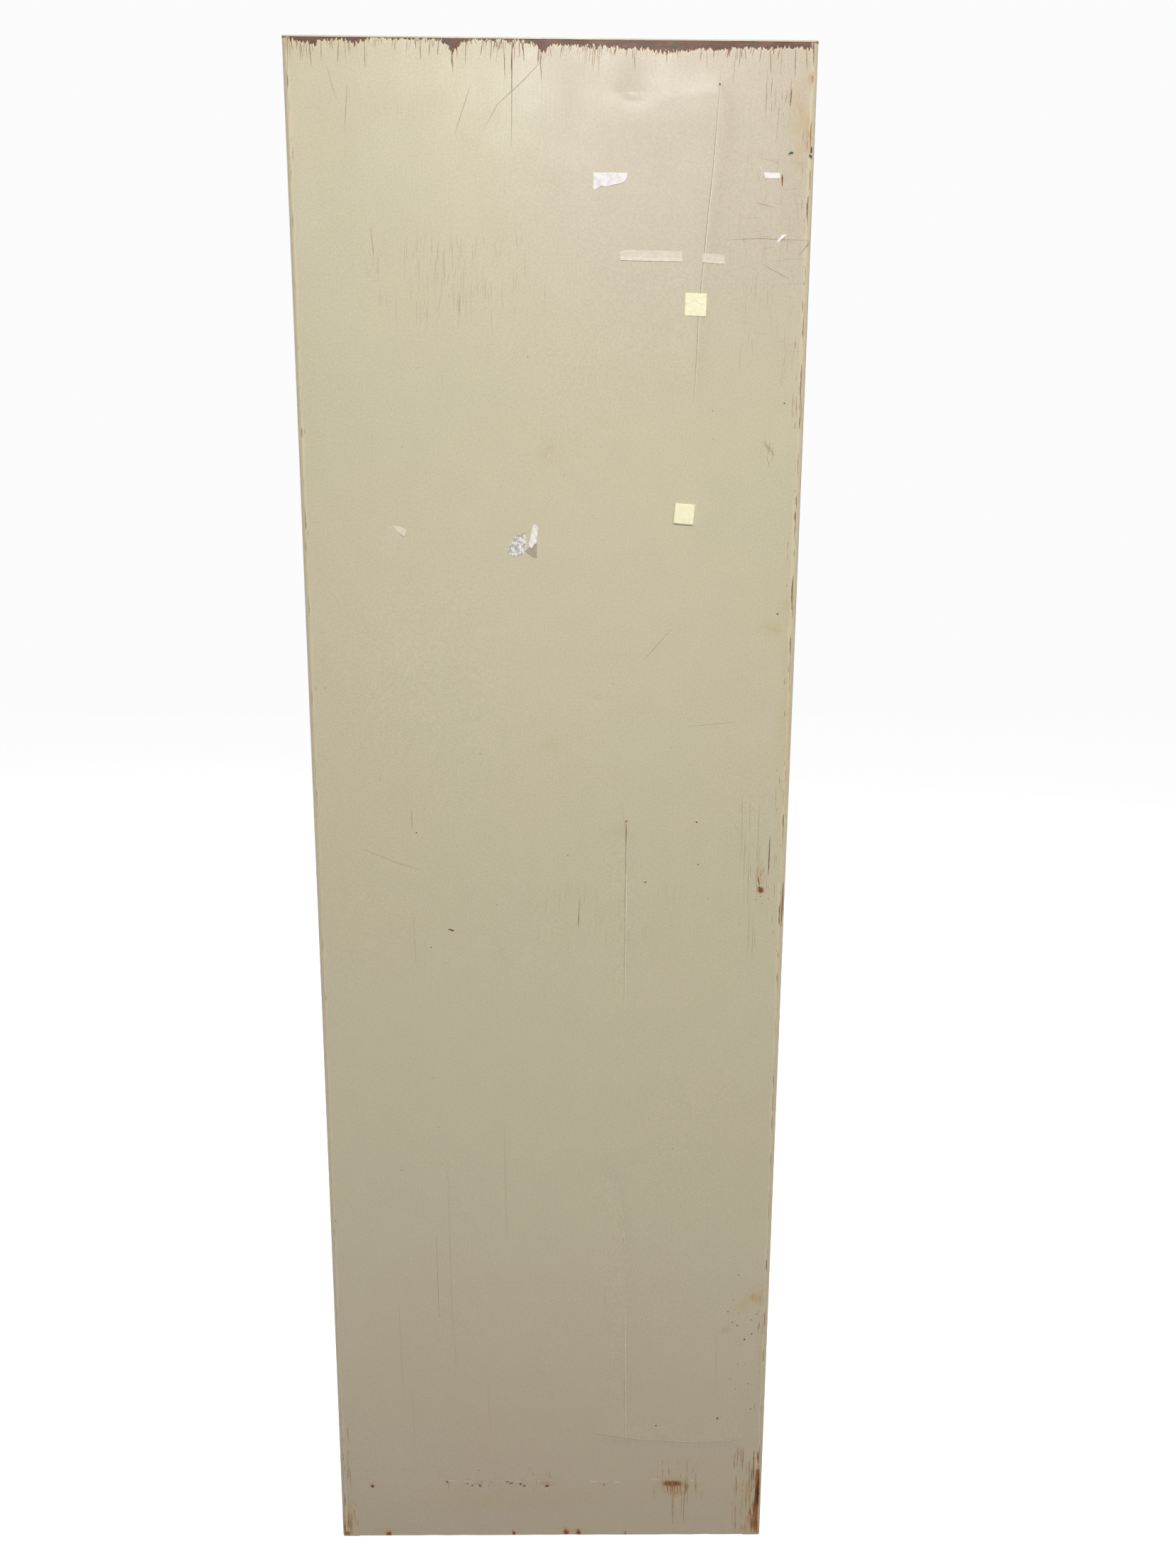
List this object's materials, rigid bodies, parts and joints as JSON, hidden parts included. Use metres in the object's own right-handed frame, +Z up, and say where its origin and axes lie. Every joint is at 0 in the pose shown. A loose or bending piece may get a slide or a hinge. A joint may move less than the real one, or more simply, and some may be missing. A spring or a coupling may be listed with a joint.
{
  "type": "standpipe cabinet",
  "caption": "Tall floor-standing steel cabinet with a glazed hinged door, holding a fire riser pipe and a capped angle hose valve",
  "frame": {"origin": "on the floor, at the middle of the object's box", "axes": "+Z up, -Y out of the glazed door, +Y out of the plain back sheet, +X to the right seen from the door"},
  "size_m": [0.61, 0.354, 1.981],
  "materials": {
    "beige_paint": "semi-gloss enamel, worn, rusty at the edges",
    "red_paint": "gloss red enamel",
    "zinc_steel": "zinc plated",
    "chrome": "satin",
    "brass": "rough cast, machined flats",
    "rubber": "matt",
    "foam": "open-cell foam rubber",
    "glass": "clear"
  },
  "bodies": {
    "cabinet": {"side_panel_left": "beige_paint", "side_panel_right": "beige_paint", "back_panel": "beige_paint", "top_panel": "beige_paint", "floor_pan": "beige_paint", "top_rail_rear": "beige_paint", "floor_rail_rear": "beige_paint", "base_rail_rear": "beige_paint", "header_rail": "beige_paint", "sill_rail": "beige_paint", "foam_pad_upper": "foam", "foam_pad_lower": "foam", "latch_strike": "zinc_steel", "door_bumper_lower": "rubber", "door_bumper_upper": "rubber", "hinge_lower_frame_leaf": "zinc_steel", "hinge_lower_pin": "zinc_steel", "hinge_middle_frame_leaf": "zinc_steel", "hinge_middle_pin": "zinc_steel", "hinge_upper_frame_leaf": "zinc_steel", "hinge_upper_pin": "zinc_steel", "riser_pipe_lower": "red_paint", "riser_pipe_upper": "red_paint", "escutcheon_floor": "zinc_steel", "escutcheon_top": "zinc_steel", "riser_tee": "red_paint", "inlet_nipple": "red_paint", "channel_lower": "beige_paint", "u_bolt_lower": "zinc_steel", "u_bolt_lower_nut_left": "zinc_steel", "u_bolt_lower_nut_right": "zinc_steel", "channel_upper": "beige_paint", "u_bolt_upper": "zinc_steel", "u_bolt_upper_nut_left": "zinc_steel", "u_bolt_upper_nut_right": "zinc_steel", "valve_body": "brass", "valve_bonnet": "brass", "packing_nut": "brass"},
    "door": {"door_skin": "beige_paint", "door_liner": "beige_paint", "door_channel_lower": "beige_paint", "door_channel_upper": "beige_paint", "window_reveal": "beige_paint", "window_glass": "glass", "window_gasket": "rubber", "handle_rose": "chrome", "hinge_lower_door_leaf": "zinc_steel", "hinge_middle_door_leaf": "zinc_steel", "hinge_upper_door_leaf": "zinc_steel"},
    "latch": {"latch_handle": "chrome", "latch_cam": "zinc_steel", "latch_nut": "zinc_steel"},
    "valve_disc": {"valve_disc": "brass"},
    "valve_stem": {"valve_stem": "brass", "handwheel": "red_paint", "wheel_nut": "zinc_steel"},
    "cap_seal": {"outlet_cap_seal": "rubber"},
    "cap": {"outlet_cap": "brass"}
  },
  "joints": [
    {"name": "door_swing", "type": "hinge", "parent": "cabinet", "child": "door", "pos_m": [-0.27175, -0.136, 1.0235], "axis": [0, 0, -1], "range_deg": [0, 170]},
    {"name": "latch_turn", "type": "hinge", "parent": "door", "child": "latch", "pos_m": [0.2385, -0.131, 1.01], "axis": [0, 1, 0], "range_deg": [0, 90]},
    {"name": "disc_lift", "type": "slide", "parent": "cabinet", "child": "valve_disc", "axis": [1, 0, 0], "range_m": [0, 0.016]},
    {"name": "wheel_turn", "type": "hinge", "parent": "valve_disc", "child": "valve_stem", "pos_m": [0.015, 0.0979, 1.35], "axis": [1, 0, 0], "range_deg": [0, 1130]},
    {"name": "cap_travel", "type": "slide", "parent": "cabinet", "child": "cap_seal", "axis": [0, 0, -1], "range_m": [0, 0.0205]},
    {"name": "cap_turn", "type": "hinge", "parent": "cap_seal", "child": "cap", "pos_m": [0.015, 0.0979, 1.35], "axis": [0, 0, -1], "range_deg": [0, 2160]}
  ],
  "couplings": [
    {"joint": "disc_lift", "follows": "wheel_turn", "m_per_rad": 0.00080851},
    {"joint": "cap_travel", "follows": "cap_turn", "m_per_rad": 0.00053906}
  ]
}
